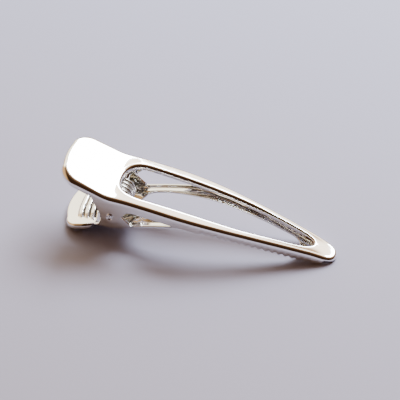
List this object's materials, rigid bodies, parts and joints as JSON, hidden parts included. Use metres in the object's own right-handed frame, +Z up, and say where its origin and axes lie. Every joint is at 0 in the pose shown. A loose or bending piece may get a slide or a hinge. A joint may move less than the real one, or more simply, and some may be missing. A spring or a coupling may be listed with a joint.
{
  "type": "alligator hair clip",
  "caption": "Sprung metal hair clip: an open-frame upper jaw hinged on a toothed lower jaw, closed by a torsion spring between two thumb tabs.",
  "frame": {"origin": "on the table under the middle of the clip's box; the clip stands on the lower tab's rear edge and on its tip", "axes": "+X towards the tip, +Y across the clip along the hinge pin, +Z up"},
  "size_m": [0.06, 0.0154, 0.0175],
  "materials": {
    "bright_plating": "polished bright plating",
    "pin_plating": "polished, peened ends",
    "spring_wire": "drawn wire, semi-bright"
  },
  "bodies": {
    "lower_half": {"lower_jaw": "bright_plating", "hinge_pin": "pin_plating", "torsion_spring": "spring_wire"},
    "upper_half": {"upper_jaw": "bright_plating"}
  },
  "joints": [
    {"name": "jaw_hinge", "type": "hinge", "parent": "lower_half", "child": "upper_half", "pos_m": [-0.0182, 0, 0.0071], "axis": [0, -1, 0], "range_deg": [0, 36], "stiffness_Nm_per_rad": 0.12, "springref_deg": -51.57, "deforming": ["torsion_spring"]}
  ]
}
